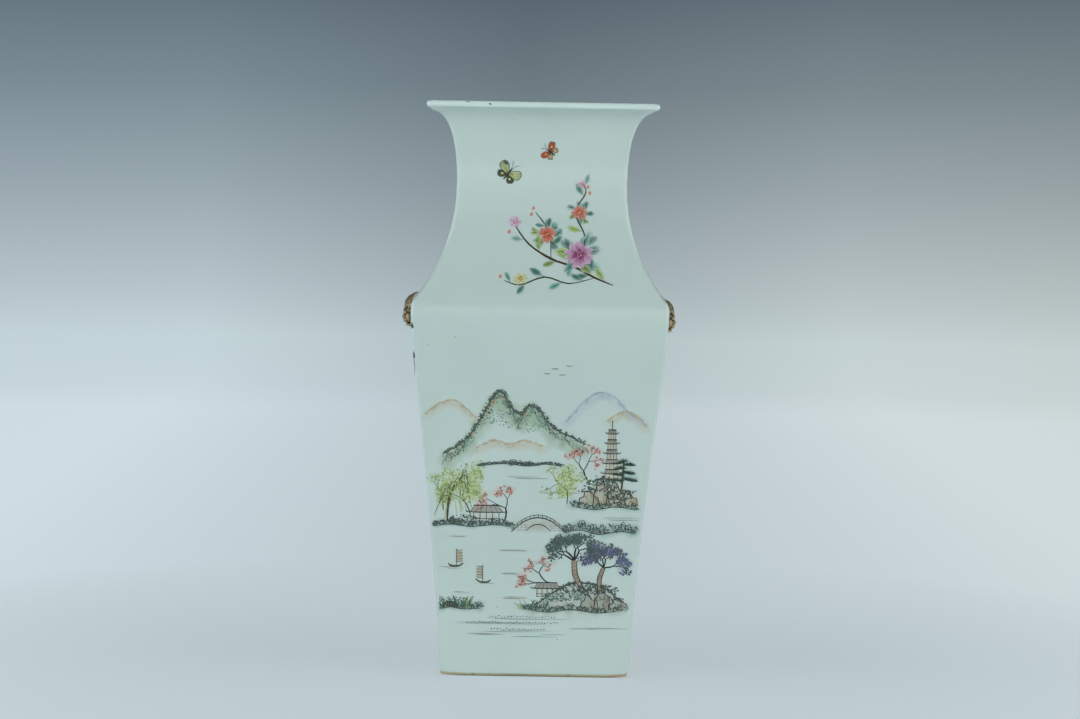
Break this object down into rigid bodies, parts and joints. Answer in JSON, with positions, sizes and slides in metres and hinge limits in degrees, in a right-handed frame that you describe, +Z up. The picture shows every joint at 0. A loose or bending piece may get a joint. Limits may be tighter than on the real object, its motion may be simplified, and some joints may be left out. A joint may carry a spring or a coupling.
{
  "type": "square vase",
  "caption": "Slab-built square porcelain vase with tapering body, waisted flaring neck, gilt beast masks on the shoulders and a painted landscape",
  "frame": {"origin": "centre of the foot, on the surface that the vase stands on", "axes": "+Z up, -Y out of the front face, +X to the right of the front, through the right mask"},
  "size_m": [0.2832, 0.256, 0.575],
  "materials": {
    "glaze": "glossy clear glaze over pale grey-green porcelain",
    "glaze_inside": "glossy glaze, plain",
    "biscuit": "unglazed buff clay, tinged with iron",
    "slip": "thin glazed slip, faintly pink",
    "gilt": "worn gilding over moulded porcelain"
  },
  "bodies": {
    "root": {"foot_right": "biscuit", "foot_back": "biscuit", "foot_left": "biscuit", "foot_front": "biscuit", "base_slab": "glaze_inside", "body_panel_right": "glaze", "body_panel_back": "glaze", "body_panel_left": "glaze", "body_panel_front": "glaze", "neck_panel_right": "glaze", "neck_panel_back": "glaze", "neck_panel_left": "glaze", "neck_panel_front": "glaze", "lip_right": "glaze", "lip_back": "glaze", "lip_left": "glaze", "lip_front": "glaze", "body_seam_back_right": "glaze_inside", "body_seam_back_left": "glaze_inside", "body_seam_front_left": "glaze_inside", "body_seam_front_right": "glaze_inside", "neck_seam_back_right": "glaze_inside", "neck_seam_back_left": "glaze_inside", "neck_seam_front_left": "glaze_inside", "neck_seam_front_right": "glaze_inside", "mask_pad_right": "slip", "mask_right": "gilt", "mask_pad_left": "slip", "mask_left": "gilt"}
  },
  "joints": []
}
